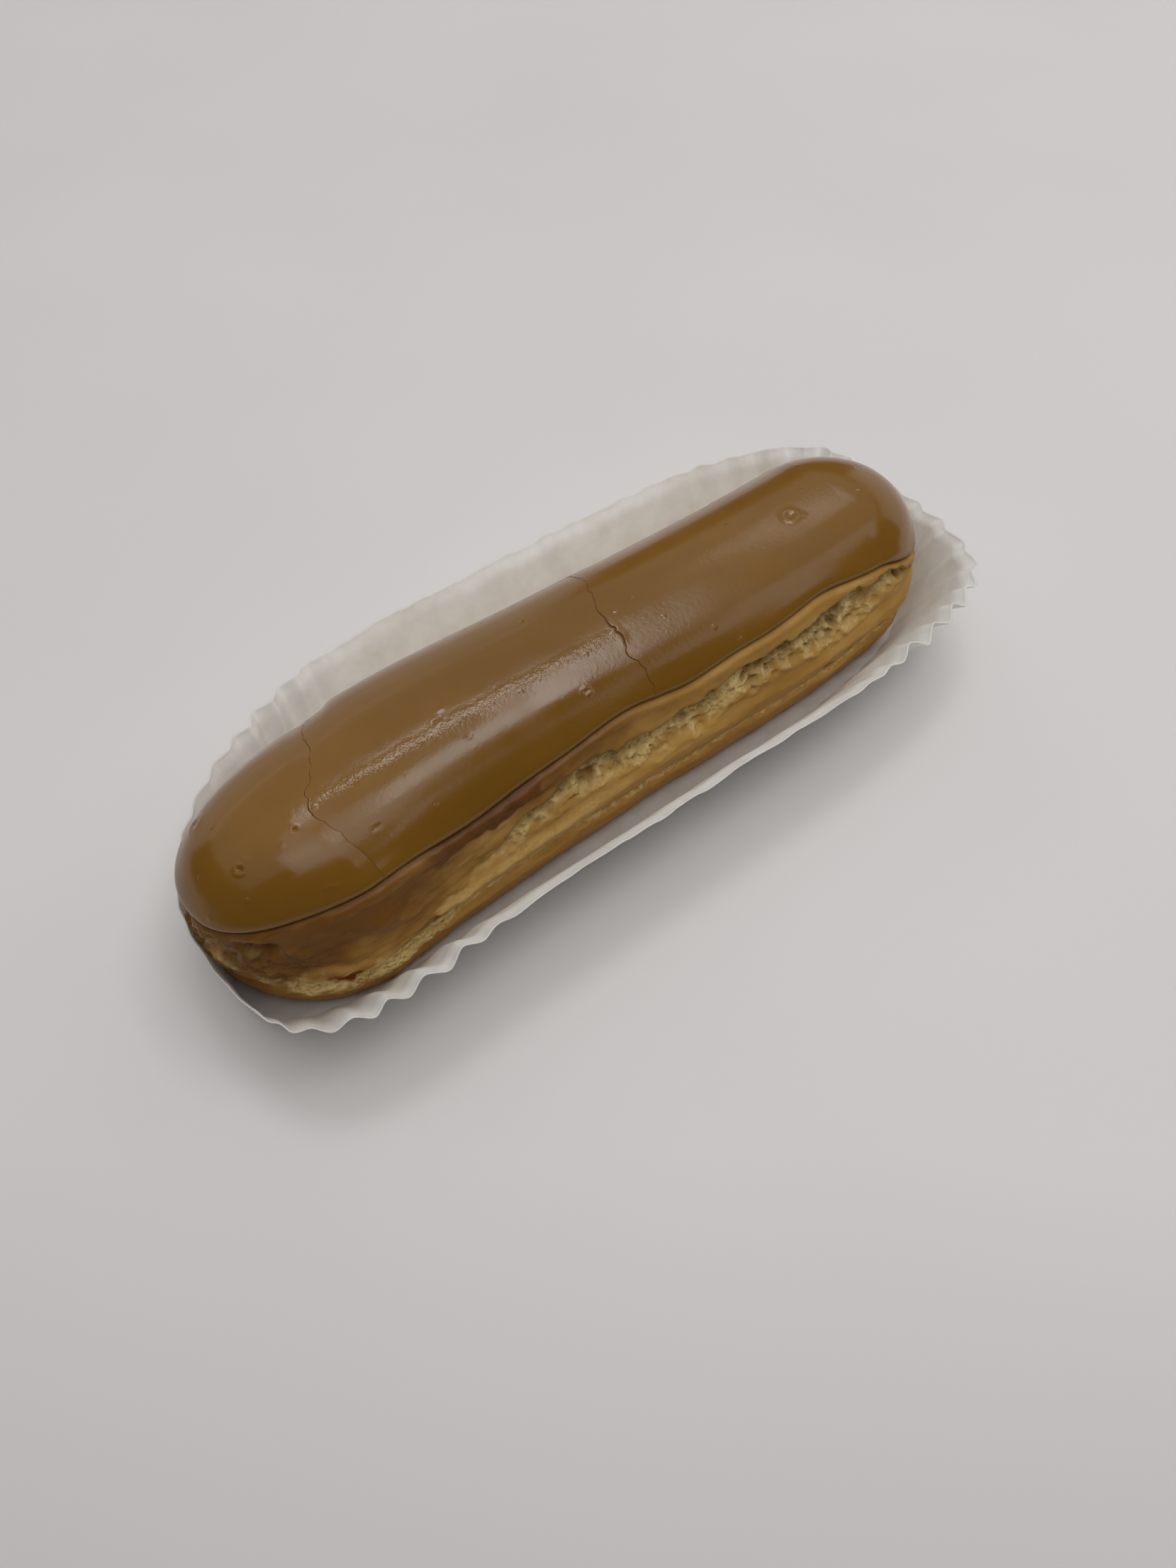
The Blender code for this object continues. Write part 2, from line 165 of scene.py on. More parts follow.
# Paper case
PAPER = 0.2
FLOOR_MIDDLE = 6.8
FLOOR_HALF_LENGTH = 71.7
FLOOR_HALF_WIDTH = 19.4
FLOOR_BOW = (-1.8, 1.8, 2.0, 2.4, 4.2)
FLOOR_SQUARENESS = (3.8, 3.8, 3.1, 4.2)
RIM_MIDDLE = 10.2
RIM_HALF_LENGTH = 76.2
RIM_HALF_WIDTH = 31.6
RIM_BOW = (-8.0, 2.2, 3.4, 3.6, 5.0)
RIM_SQUARENESS = (3.3, 3.8, 2.9, 4.6)
RIM_HEIGHTS = (17.0, 18.0, 15.6, 19.3)
PLEAT = 6.2
PLEAT_DEPTH = 0.85
POINTS_PER_PLEAT = 14
WALL_RINGS = 20
RIM_SAMPLES = 24001
# The wall is pressed up to the bun's left tip: how far its foot goes in, how much lower its upper
# edge is, twice that on the near side, and how far the near corner leans in.
TUCKED_FOOT = 0.9
TUCKED_RIM = 1.4
TUCKED_CORNER = 2.4

# The table top, the camera and the lights, in metres and degrees
TABLE_SIZE = 4.0
TABLE_BELOW = 0.00005
CAMERA_LENS = 27.03
CAMERA_SENSOR = 36.0
CAMERA_PLACE = (-0.07962, -0.10439, 0.16699)
CAMERA_TURN = (36.0, 0.0, -37.0)
# Soft panels hang at this height and face down. Each: left, right, near and far edge, brightness.
PANEL_HEIGHT = 1.0
PANELS = {
    "window_far_strip": (0.08, 0.56, 0.20, 0.43, 4.6),
    "window_right_strip": (0.42, 0.56, -0.38, 0.20, 4.2),
    "window_near_strip": (0.18, 0.42, -0.40, -0.10, 2.9),
    "window_near_strip_soft": (0.04, 0.50, -0.48, -0.06, 0.7),
    "left_window": (-0.38, 0.30, -0.68, -0.20, 1.3),
    "left_window_soft": (-0.46, 0.36, -0.78, -0.10, 0.8),
    "left_window_foot": (0.25, 0.38, -0.86, -0.46, 1.2),
    "left_window_toe": (0.36, 0.50, -1.36, -0.86, 1.4),
    "far_right_strip": (0.84, 0.98, 0.20, 0.80, 1.5),
    "left_window_top": (-0.28, 0.06, -0.16, 0.20, 0.58),
    "right_window": (0.78, 1.20, -0.92, -0.54, 1.0),
    "right_window_soft": (0.70, 1.35, -1.10, -0.46, 0.9),
}
# The room beyond them. Each: its middle, its size, its brightness, and the point it faces.
WALLS = {
    "pale_ceiling": ((0.1, 1.2, 1.7), (5.2, 4.0), 0.40, (0.1, 1.2, 0.0)),
    "far_wall": ((-0.4, 3.0, 0.9), (4.0, 1.8), 0.5, (-0.4, 0.0, 0.9)),
    "right_wall": ((3.4, 0.6, 0.9), (3.0, 1.8), 0.55, (0.0, 0.6, 0.9)),
}


# ---------------------------------------------------------------- numbers

def blend(low, high, share):
    return low + (high - low) * share


def step(value, start, end):
    """A smooth step from 0 at start to 1 at end."""
    share = np.clip((value - start) / (end - start), 0.0, 1.0)
    return share * share * (3.0 - 2.0 * share)


def bump(value, middle, width):
    """A smooth hump of height 1 round middle."""
    return np.exp(-(((value - middle) / width) ** 2))


def through(values, share):
    """The smooth curve through evenly spaced values, at share from 0 to 1 of its run."""
    values = np.asarray(values, float)
    place = np.clip(share, 0.0, 1.0) * (len(values) - 1)
    index = np.minimum(place.astype(int), len(values) - 2)
    t = place - index
    before = values[np.maximum(index - 1, 0)]
    here, there = values[index], values[index + 1]
    after = values[np.minimum(index + 2, len(values) - 1)]
    return 0.5 * (
        2.0 * here
        + (there - before) * t
        + (2.0 * before - 5.0 * here + 4.0 * there - after) * t**2
        + (3.0 * here - before - 3.0 * there + after) * t**3
    )


def lattice(cell, seed):
    """A fixed value from -1 to 1 for each cell of a lattice."""
    n = cell[..., 0] * 73856093 ^ cell[..., 1] * 19349663 ^ cell[..., 2] * 83492791
    n = (n ^ (seed * 15485863)) & 0x7FFFFFFF
    n = ((n ^ (n >> 13)) * 1274126177) & 0x7FFFFFFF
    n = ((n ^ (n >> 15)) * 668265263) & 0x7FFFFFFF
    return ((n ^ (n >> 16)) & 0xFFFF) / 32767.5 - 1.0


def lumps(points, size, seed):
    """Smooth lumps of a size over points, from -1 to 1."""
    place = points / size
    cell = np.floor(place).astype(np.int64)
    t = place - cell
    t = t * t * t * (t * (t * 6.0 - 15.0) + 10.0)
    total = np.zeros(points.shape[:-1])
    for dx in (0, 1):
        for dy in (0, 1):
            for dz in (0, 1):
                weight = np.abs(1 - dx - t[..., 0])
                weight = weight * np.abs(1 - dy - t[..., 1])
                weight = weight * np.abs(1 - dz - t[..., 2])
                total += weight * lattice(cell + (dx, dy, dz), seed)
    return total


def layered(points, size, seed, layers=3):
    """Lumps with smaller lumps on them."""
    total = np.zeros(points.shape[:-1])
    for layer in range(layers):
        total += lumps(points, size / 2.0**layer, seed + layer) / 2.0**layer
    return total


def cells(points, size, seed):
    """Distance to the nearest and the second nearest of scattered points, in cell sizes."""
    place = points / size
    cell = np.floor(place).astype(np.int64)
    first = np.full(points.shape[:-1], 9.0)
    second = first.copy()
    for dx in (-1, 0, 1):
        for dy in (-1, 0, 1):
            for dz in (-1, 0, 1):
                other = cell + (dx, dy, dz)
                centre = np.stack([lattice(other, seed + k) for k in (0, 1, 2)], -1)
                far = np.linalg.norm(other + 0.5 + 0.45 * centre - place, axis=-1)
                second = np.minimum(second, np.maximum(first, far))
                first = np.minimum(first, far)
    return first, second


# ---------------------------------------------------------------- the lines round the eclair

class Around:
    """The upright lines of points round the eclair, as arrays with one value for each line.

    x is where a line stands along the spine, lengthwise and across are the way that it faces, and
    tip goes from 0 along the sides to 1 at the two tips.
    """

    def __init__(self, spacing, arc, close=()):
        spine = self.stations(spacing, close)
        ends = np.arange(1, arc) * math.pi / arc
        count = len(spine)
        self.x = np.concatenate(
            [spine, np.full(arc - 1, spine[-1]), spine[::-1], np.full(arc - 1, spine[0])]
        )
        turn = np.concatenate([np.zeros(count), ends, np.full(count, math.pi), math.pi + ends])
        self.lengthwise = np.sin(turn)
        self.lengthwise[np.abs(self.lengthwise) < 1e-9] = 0.0
        self.across = -np.cos(turn)
        self.end = np.where(self.lengthwise > 0.0, RIGHT_END, LEFT_END)
        share = (self.x - LEFT_TIP) / (RIGHT_TIP - LEFT_TIP)
        self.half_width = through(HALF_WIDTHS, share)
        self.height = through(HEIGHTS, share)
        self.bow = through(BOW, share)
        self.tip = self.lengthwise**2
        self.widest = blend(WIDEST[0], WIDEST[1], self.tip) * self.height

    @staticmethod
    def stations(spacing, close):
        """Places along the spine, evenly apart but closer round the cracks."""
        fine = np.linspace(LEFT_TIP + LEFT_END, RIGHT_TIP - RIGHT_END, SPINE_SAMPLES)
        dense = np.full(len(fine), 1.0 / spacing)
        for middle in close:
            dense += CRACK_POINTS[0] * bump(fine, middle, CRACK_POINTS[1])
        total = np.concatenate([[0.0], np.cumsum((dense[1:] + dense[:-1]) / 2.0)])
        total *= fine[1] - fine[0]
        count = int(total[-1])
        return np.interp(np.linspace(0.0, total[-1], count + 1), total, fine)

    def point(self, rho, z, inset=0.0, shift=0.0):
        """Points at share rho of the way from the spine to the widest outline, less the inset."""
        x = self.x + shift + self.lengthwise * (rho * self.end - inset)
        y = self.bow + self.across * (rho * self.half_width - inset)
        return np.stack([x, y, np.broadcast_to(z, x.shape)], -1)


def column_edge(around):
    """The height of the icing's edge, which sinks towards both tips, most at the right one."""
    x = around.x
    wave = 0.5 * np.sin(x * 0.11 + 1.0) + 0.12 * np.sin(x * 0.31) - 1.0 * bump(x, 18.5, 9.0)
    side = ICING_EDGE + wave - ICING_SINK[2] * step(x, ICING_SINK[0], ICING_SINK[1])
    right = around.lengthwise > 0.0
    tip = np.where(right, ICING_EDGE_TIPS[1][0], ICING_EDGE_TIPS[0][0])
    late = np.where(right, ICING_EDGE_TIPS[1][1], ICING_EDGE_TIPS[0][1])
    return blend(side, tip, around.tip**late)


def side_outline(around, z):
    """How far out the plain side is at a height, as a share."""
    base = blend(BASE[0], BASE[1], around.tip)
    rise = np.clip((z - around.widest) / (around.height - around.widest), 0.0, 1.0)
    above = (1.0 - rise**ROUNDNESS) ** (1.0 / ROUNDNESS)
    lean = np.clip(1.0 - z / around.widest, 0.0, 1.0) ** (1.0 / 1.2)
    below = base + (1.0 - base) * (1.0 - lean**2) ** 0.4
    return np.where(z >= around.widest, above, below)


def dome(around, share, inset):
    """The rounded top from the widest place, share 0, to the spine, share 1: (rho, z)."""
    turn = np.clip(share, 0.0, 1.0) * math.pi / 2.0
    rho = np.clip(np.cos(turn), 0.0, 1.0) ** (2.0 / ROUNDNESS)
    rho = np.where(rho < 1e-9, 0.0, rho)
    rise = np.sin(turn) ** (2.0 / ROUNDNESS)
    return rho, around.widest + (around.height - inset - around.widest) * rise


def dome_share(around, z, inset):
    """The share along the dome at a height."""
    rise = np.clip((z - around.widest) / (around.height - inset - around.widest), 0.0, 1.0)
    return np.arcsin(rise ** (ROUNDNESS / 2.0)) * 2.0 / math.pi


def crack_shift(around, rho):
    """How far a point follows the wandering of the nearest crack."""
    across = around.across * rho
    shift = np.zeros(np.broadcast(around.x, rho).shape)
    line = np.stack([across * 9.0, across * 0.0, across * 0.0], -1)
    for index, (middle, wander) in enumerate(CRACKS):
        far = np.abs(around.x - middle)
        jag = 0.30 * lumps(line + index * 7.7, 0.80, 3 + index)
        jag += 0.24 * lumps(line + index * 3.1, 0.34, 13 + index)
        pull = through(wander, (across + 1.0) / 2.0) * (1.0 - step(far, 0.3, CRACK_PULL))
        shift += pull + jag * (1.0 - step(far, 0.2, 2.2))
    return shift * (1.0 - around.tip)


# ---------------------------------------------------------------- meshes

def wrapped(name, rows, masks):
    """A grid whose rows are rings of points, wrapped round and closed. Masks go with it by name."""
    rings, columns = rows.shape[:2]
    bpy.ops.object.select_all(action="DESELECT")
    bpy.ops.mesh.primitive_grid_add(x_subdivisions=columns, y_subdivisions=rings - 1, size=1.0)
    made = bpy.context.object
    made.name = name
    mesh = made.data
    mesh.name = name
    full = np.concatenate([rows, rows[:, :1]], 1).reshape(-1, 3)
    full = (full - (MIDDLE[0], MIDDLE[1], 0.0)) * MM
    mesh.vertices.foreach_set("co", full.astype(np.float32).ravel())
    for mask, values in masks.items():
        layer = mesh.attributes.new(mask, "FLOAT", "POINT")
        values = np.broadcast_to(values, rows.shape[:2])
        values = np.concatenate([values, values[:, :1]], 1)
        layer.data.foreach_set("value", values.astype(np.float32).ravel())
    bpy.ops.object.mode_set(mode="EDIT")
    bpy.ops.mesh.select_all(action="SELECT")
    bpy.ops.mesh.remove_doubles(threshold=SAME_PLACE)
    bpy.ops.mesh.normals_make_consistent(inside=False)
    bpy.ops.object.mode_set(mode="OBJECT")
    bpy.ops.object.shade_smooth()
    return made


def facing(rows):
    """The direction that each point of wrapped rings faces."""
    around = np.roll(rows, -1, 1) - np.roll(rows, 1, 1)
    up = np.gradient(rows, axis=0)
    normal = np.cross(around, up)
    size = np.linalg.norm(normal, axis=-1, keepdims=True)
    normal = np.where(size > 1e-9, normal / np.maximum(size, 1e-9), (0.0, 0.0, 1.0))
    return normal


# ---------------------------------------------------------------- coffee icing

def crack_profile(around, rho):
    """How deep the cracks are at each point, and a mask of their floor, where shade is painted as a
    darker brown.
    """
    across = around.across * rho
    depth = np.zeros(np.broadcast(around.x, rho).shape)
    crack_shade = depth.copy()
    for (middle, _), widths in zip(CRACKS, CRACK_WIDTHS):
        width = through(widths, (across + 1.0) / 2.0)
        far = around.x - middle
        inside = 1.0 - step(np.abs(far), width * 0.4, width * 1.1)
        depth += CRACK_DEPTH * inside * (0.6 + 2.0 * width)
        wide = step(width, 0.09, 0.15)
        depth -= 0.07 * wide * (bump(far, width + 0.3, 0.25) + 0.5 * bump(far, -width - 0.3, 0.25))
        crack_shade = np.maximum(crack_shade, 1.0 - step(np.abs(far), width * 0.7, width * 1.4))
    plain = 1.0 - step(around.tip, 0.0, 0.02)
    return depth * plain, crack_shade * plain


def icing_relief(around, rho, points):
    """How far the icing stands out of its plain dome: swells, the grainy crest, and bubbles."""
    x, y = points[..., 0], points[..., 1]
    across = around.across * rho
    stretched = points * (0.6, 1.0, 1.0)
    relief = 0.07 * lumps(stretched, 13.0, 21) + 0.012 * lumps(stretched, 5.0, 22)
    between = step(around.x, CRACKS[0][0] - 0.05, CRACKS[0][0] + 0.05)
    between = between * (1.0 - step(around.x, CRACKS[1][0] - 0.05, CRACKS[1][0] + 0.05))
    crest = -3.2 + 0.03 * (x + 15.0) + 0.3 * lumps(points * (1.0, 0.0, 0.0), 3.0, 31)
    off = y - crest
    relief += 0.05 * between * np.maximum(0.0, 1.0 - np.abs(off) / 1.4)
    relief += 0.02 * between * bump(off, 0.0, 0.8) * lumps(points, 0.9, 41)
    # The middle piece turns down towards the left crack on its near shoulder.
    past = np.clip((around.x - CRACKS[0][0]) / 12.0, 0.0, 1.0)
    relief -= 0.34 * between * (1.0 - past) ** 2 * bump(across, -0.62, 0.42)
    # The piece right of the right crack sits a little higher at the crack.
    relief += 0.06 * (around.x > CRACKS[1][0]) * bump(around.x, CRACKS[1][0], 6.0)
    for bx, by, radius, rim, pit in BLISTERS:
        r = np.hypot(x - bx - MIDDLE[0], y - by - MIDDLE[1]) / radius
        top = rho < 0.97
        if pit > 0.0:
            relief += top * (rim * bump(r, 1.0, 0.4) - pit * bump(r, 0.0, 0.6))
        else:
            relief += top * rim * bump(r, 0.0, 0.9)
    return relief, between * bump(off, 0.0, 1.1)


def coffee_icing():
    """The icing: a thick skin over the bun with a rolled lip, two cracks, and bubbles."""
    around = Around(ICING_SPACING, ICING_ARC, [middle for middle, _ in CRACKS])
    edge = column_edge(around)
    half = ICING_THICKNESS / 2.0
    rows, rhos = [], []
    start = dome_share(around, edge + half, 0.0)
    last = dome_share(around, edge + half + 0.2, ICING_THICKNESS)
    for ring in range(HIDDEN_RINGS):
        share = blend(1.0, last, (ring / (HIDDEN_RINGS - 1)) ** 0.6)
        rho, z = dome(around, share, ICING_THICKNESS)
        inset = ICING_THICKNESS * np.minimum(1.0, rho * 2.0)
        rows.append(around.point(rho, z, inset, crack_shift(around, rho)))
        rhos.append(rho)
    for turn in np.linspace(math.pi, 0.0, LIP_POINTS)[:-1]:
        z = edge + half - half * math.sin(turn)
        rho, _ = dome(around, dome_share(around, z, 0.0), 0.0)
        rows.append(around.point(rho, z, half - half * math.cos(turn), crack_shift(around, rho)))
        rhos.append(rho)
    inner = len(rows)
    for ring in range(ICING_RINGS + 1):
        rho, z = dome(around, blend(start, 1.0, ring / ICING_RINGS), 0.0)
        rows.append(around.point(rho, z, 0.0, crack_shift(around, rho)))
        rhos.append(rho)
    rows = np.array(rows)
    rhos = np.array([np.broadcast_to(rho, around.x.shape) for rho in rhos])
    normal = facing(rows)
    flat = step(rhos, 0.02, 0.16)[..., None]
    normal[inner:] = normal[inner:] * flat[inner:] + (0.0, 0.0, 1.0) * (1.0 - flat[inner:])
    normal /= np.linalg.norm(normal, axis=-1, keepdims=True)
    outer = rows[inner:]
    depth, crack_shade = crack_profile(around, rhos[inner:])
    relief, grainy = icing_relief(around, rhos[inner:], outer)
    low = (outer[..., 2] - edge) / 3.0
    relief = relief * step(low, 0.2, 1.0)
    relief = relief + 0.12 * bump(low, 0.40, 0.40) - 0.25 * (1.0 - step(low, 0.0, 0.30))
    rows[inner:] = outer + normal[inner:] * (relief - depth * step(low, -0.2, 0.6))[..., None]
    crack = np.zeros(rows.shape[:2])
    crack[inner:] = crack_shade
    crest = np.zeros(rows.shape[:2])
    crest[inner:] = grainy
    return wrapped("coffee_icing_skin", rows, {"crack": crack, "crest": crest})


# ---------------------------------------------------------------- choux bun

def ellipses(points, spots):
    """How near each point is to each spot: (distance in spot sizes, the spot's other values)."""
    for sx, sy, sz, long, tall, *values in spots:
        level = np.hypot(points[..., 0] - sx - MIDDLE[0], points[..., 1] - sy - MIDDLE[1]) / long
        yield np.hypot(level, (points[..., 2] - sz) / tall), values


def bun_rings(around, edge, inset):
    """The plain bun's rings, and where those of its side start and end: base, side, hidden top."""
    rows = []
    low = PAPER + GAP
    for share in (0.0, 0.5, 0.97):
        rho = share * side_outline(around, np.full(around.x.shape, low))
        rows.append(around.point(rho, low))
    skirt = len(rows)
    for ring in range(BUN_RINGS):
        z = blend(low, edge - 0.2, ring / (BUN_RINGS - 1))
        rho = side_outline(around, z)
        follow = step(z, 16.0, edge - 1.0)
        rows.append(around.point(rho, z, 0.0, follow * crack_shift(around, rho)))
    side_end = len(rows)
    start = dome_share(around, edge + 0.6, ICING_THICKNESS)
    for ring in range(HIDDEN_RINGS):
        rho, z = dome(around, blend(start, 1.0, ring / (HIDDEN_RINGS - 1)), inset)
        sunk = inset * np.minimum(1.0, rho * 2.0)
        rows.append(around.point(rho, z, sunk, crack_shift(around, rho)))
    return np.array(rows), skirt, side_end


def choux_bun():
    """The baked bun: two piped ridges, a torn band along each side where its pale inside shows, and
    craggy ends.
    """
    around = Around(BUN_SPACING, BUN_ARC)
    edge = column_edge(around)
    inset = ICING_THICKNESS + GAP
    rows, skirt, side_end = bun_rings(around, edge, inset)
    along = around.x + around.lengthwise * around.end
    run = (along - TEAR_START) / (TEAR_STEP * (len(TEAR_ROOF) - 1))
    roof = np.minimum(through(TEAR_ROOF, run), edge - TEAR_BELOW_ICING)
    floor = np.minimum(through(TEAR_FLOOR, run), roof - TEAR_LEAST_HEIGHT)
    place = rows[skirt:side_end]
    x, z = place[..., 0], place[..., 2]
    flat = place * (1.0, 1.0, 0.0)
    out = np.stack([around.lengthwise, around.across, np.zeros(len(around.x))], -1)
    near = step(-around.across, -0.2, 0.4)

    # The torn band: it opens from the middle to the right, deepest under its ragged roof.
    wander = 0.9 + 0.4 * lumps(flat, 12.0, 4)
    opening = step(x, *TEAR_OPENS)
    torn_run = opening * np.clip(wander, 0.6, 1.1)
    ragged = 0.9 * lumps(flat, 5.5, 51) + 0.6 * lumps(flat, 2.2, 52) + 0.35 * lumps(flat, 0.9, 53)
    ragged_floor = 0.8 * lumps(flat, 5.0, 54) + 0.5 * lumps(flat, 1.6, 55)
    top = roof + ragged * step(torn_run, 0.0, 0.4) - 2.5 * (1.0 - opening)
    bottom = floor + ragged_floor
    inside = step(z, bottom - 0.2, bottom + 1.2) * (1.0 - step(z, top - 0.25, top + 0.25))
    rise = np.clip((z - bottom) / (top - bottom), 0.0, 1.0)
    torn = inside * torn_run
    first, second = cells(place * (0.7, 1.0, 1.0), 2.1, 71)
    small_first, _ = cells(place * (0.8, 1.0, 1.0), 1.0, 75)
    webs = 1.0 - step(second - first, 0.06, 0.42)
    holes = (1.0 - webs) * np.clip(0.35 + 1.0 * lumps(place, 4.5, 77), 0.0, 1.0)
    pores = 1.0 - step(small_first, 0.12, 0.55)

    # The thin seam between the two piped ridges, where the pale inside shows, wide at the left end.
    seam_middle = blend(*SEAM_HEIGHTS, step(x, -25.0, 30.0)) * np.minimum(1.0, floor / 17.0)
    seam_middle = seam_middle + 0.5 * lumps(flat, 9.0, 6) + 0.25 * lumps(flat, 2.0, 7)
    seam_wide = blend(*SEAM_WIDTHS, step(x, -43.0, -25.0))
    seam_run = np.clip(0.75 + 0.7 * lumps(flat, 10.0, 5) + step(-x, 28.0, 36.0), 0.0, 1.0)
    seam_run = seam_run * (1.0 - step(-x, 56.0, 60.0))
    seam = bump(z, seam_middle, seam_wide) * seam_run

    left_end = step(-x, 34.0, 50.0) * step(z, 7.0, 11.0) * (1.0 - step(z, 20.0, 23.0))
    tip_crags = left_end * step(-x, 50.0, 60.0)
    shaded_pockets = np.zeros(z.shape)
    orange = np.zeros(z.shape)
    inward = TIP_INSET * around.tip + 0.25
    for middle, width, size in (RIDGE_LOW, RIDGE_HIGH):
        inward = inward - size * bump(z, middle, width)
    at_left = step(-x, 28.0, 46.0)
    inward = inward + blend(1.1, 0.5, at_left) * seam
    inward = inward + seam * (0.7 * pores + 0.5 * layered(place, 1.5, 82))
    inward = inward + TEAR_DEPTH * torn * step(rise, 0.05, 0.75)
    inward = inward + torn * step(rise, 0.0, 0.3) * (1.2 * holes + 0.8 * pores)
    inward = inward + torn * (0.32 * layered(place, 2.4, 81) + 0.30 * layered(place, 0.9, 85))
    crumbling = 1.0 + 1.1 * lumps(place, 1.1, 86)
    inward = inward - 0.25 * torn_run * bump(z, bottom + 0.6, 0.8) * crumbling
    inward = inward - 0.12 * torn_run * bump(z, top + 0.6, 0.6)
    inward = inward + left_end * 0.35 * layered(place, 4.5, 84)
    inward = inward + tip_crags * 0.65 * layered(place, 2.6, 87)
    crag_first, crag_second = cells(place + 0.5 * layered(place, 2.0, 65)[..., None], 4.4, 66)
    crevices = tip_crags * (1.0 - step(crag_second - crag_first, 0.0, 0.22))
    inward = inward + 0.5 * crevices
    for far, (depth, hue) in ellipses(place, POCKETS):
        rough = far + 0.22 * layered(place, 1.6, 61)
        hole = 1.0 - step(rough, 0.6, 1.05)
        inward = inward + depth * hole - 0.12 * bump(far, 1.35, 0.3)
        # This mask of the holes also paints shade into them in the finish.
        shaded_pockets = np.maximum(shaded_pockets, hole)
        orange = np.maximum(orange, hole * hue)
    flakes = np.zeros(z.shape)
    for far, (size, paleness) in ellipses(place, PUFFS):
        inward = inward - size * bump(far + 0.15 * layered(place, 1.6, 62), 0.0, 0.8)
        flake = 1.0 - step(far + 0.3 * layered(place, 1.4, 63), 0.6, 1.0)
        flakes = np.maximum(flakes, paleness * flake)
    # Ripples along the piped ridges, an uneven crust, and baked-out dots along the low ridge.
    piped = (1.0 - inside) * (1.0 - step(z, 17.0, 19.0))
    inward = inward + 0.12 * lumps(place * (0.10, 0.3, 1.0), 1.3, 91) * piped
    inward = inward + 0.16 * layered(place, 5.0, 92) + 0.06 * layered(place, 1.2, 93)
    dots, _ = cells(place * (0.6, 0.6, 1.0), 2.6, 95)
    inward = inward + 0.35 * (1.0 - step(dots, 0.05, 0.22)) * (1.0 - step(z, 8.0, 10.0))

    # The glaze that ran over the crust at the left, and the caramel under the lip.
    frame_x = x - MIDDLE[0]
    glaze_floor = blend(*GLAZE_FLOOR, step(frame_x, -54.0, -14.0)) + 1.5 * layered(flat, 6.0, 98)
    smear = (1.0 - step(frame_x, -16.0, 8.0)) * step(z, glaze_floor - 0.6, glaze_floor + 0.6)
    smear = smear * (1.0 - shaded_pockets) * (1.0 - torn)
    toffee = near * step(frame_x, -46.0, -40.0) * (1.0 - step(frame_x, -24.0, -16.0))
    toffee = toffee * step(z + 0.8 * layered(flat, 4.0, 99), edge - 3.2, edge - 2.6)
    toffee = toffee * step(layered(place * (0.6, 1.0, 1.0), 3.4, 90), -0.7, 0.0)
    wrinkle = np.abs(layered(place * (0.7, 1.0, 1.5), 2.6, 97))
    inward = inward - toffee * (0.45 - 0.5 * wrinkle)
    inward = inward - smear * 0.26 * layered(place * (0.5, 1.0, 1.6), 3.0, 96)

    # The crust swells up to the lip and goes in under it, and keeps clear of the wall at the tip.
    inward = inward - 0.45 * bump(z, edge - 0.8, 1.4) * (1.0 - torn)
    under = step(z, edge - 0.50, edge - 0.21)
    inward = blend(inward, np.maximum(inward, inset), under)
    by_wall = step(-x, 56.0, 62.0) * (1.0 - step(z, 18.0, 21.0))
    inward = np.maximum(inward, blend(-0.7, 0.35, by_wall))
    rows[skirt:side_end] = place - out * inward[..., None]

    # The pale inside shows in the torn band, the seam, the crags and the flakes; on the upper ridge
    # the same pale colour is a painted highlight, in patches.
    crumb_and_highlight = np.clip(torn * 1.3, 0.0, 1.0) * step(rise + 0.3 * layered(place, 1.8, 83), 0.0, 0.65)
    in_seam = step(seam + 0.2 * at_left * layered(place, 2.6, 64), 0.20, 0.60)
    crumb_and_highlight = np.maximum(crumb_and_highlight, blend(0.8, 1.0, at_left) * in_seam)
    # A highlight painted in the pale colour, in patches, along the upper ridge at the left and
    # middle.
    ridge_highlight = step(x, -42.0, -33.0) * (1.0 - step(x, -4.0, 14.0)) * bump(z, 13.6, 3.6)
    highlight_patches = np.clip(0.16 + 0.28 * layered(place * (0.3, 0.6, 1.0), 3.0, 60), 0.0, 0.8)
    crumb_and_highlight = np.maximum(crumb_and_highlight, ridge_highlight * highlight_patches)
    crumb_and_highlight = np.maximum(crumb_and_highlight, 0.7 * tip_crags * step(layered(place, 3.0, 88), -0.1, 0.4))
    crumb_and_highlight = np.maximum(crumb_and_highlight, flakes)

    # Shade painted dark into the hollows of the torn band, under its roof, in the seam's pores and
    # the crevices; and how brown the crust is, with painted light and shade.
    hollow_shade = torn * (holes * 1.2 + 0.35 * pores) * step(rise, 0.08, 0.40)
    deep = torn * step(rise, 0.35, 0.62) * step(lumps(flat, 2.6, 57), -0.4, 0.4)
    hollow_shade = np.maximum(hollow_shade, 0.8 * deep)
    hollow_shade = np.maximum(hollow_shade, 0.7 * seam * pores * step(lumps(place, 3.0, 78), -0.3, 0.3))
    hollow_shade = np.clip(np.maximum(hollow_shade, 0.6 * crevices), 0.0, 1.0)
    browning_and_painted_light = np.clip(0.5 + 0.6 * layered(place * (0.25, 0.5, 1.0), 4.0, 89), 0.0, 1.0)
    # Lighter along the upper ridge's crest, a painted highlight, and darker just below the seam.
    browning_and_painted_light = browning_and_painted_light * (1.0 - 0.7 * bump(z, 12.4, 2.4)) + 0.3 * bump(z, seam_middle - 1.4, 0.8)
    left_third = 1.0 - step(frame_x, -50.0, -30.0)
    browning_and_painted_light = np.maximum(0.55 * browning_and_painted_light, left_third * (0.8 + 0.3 * layered(place, 5.0, 94)))
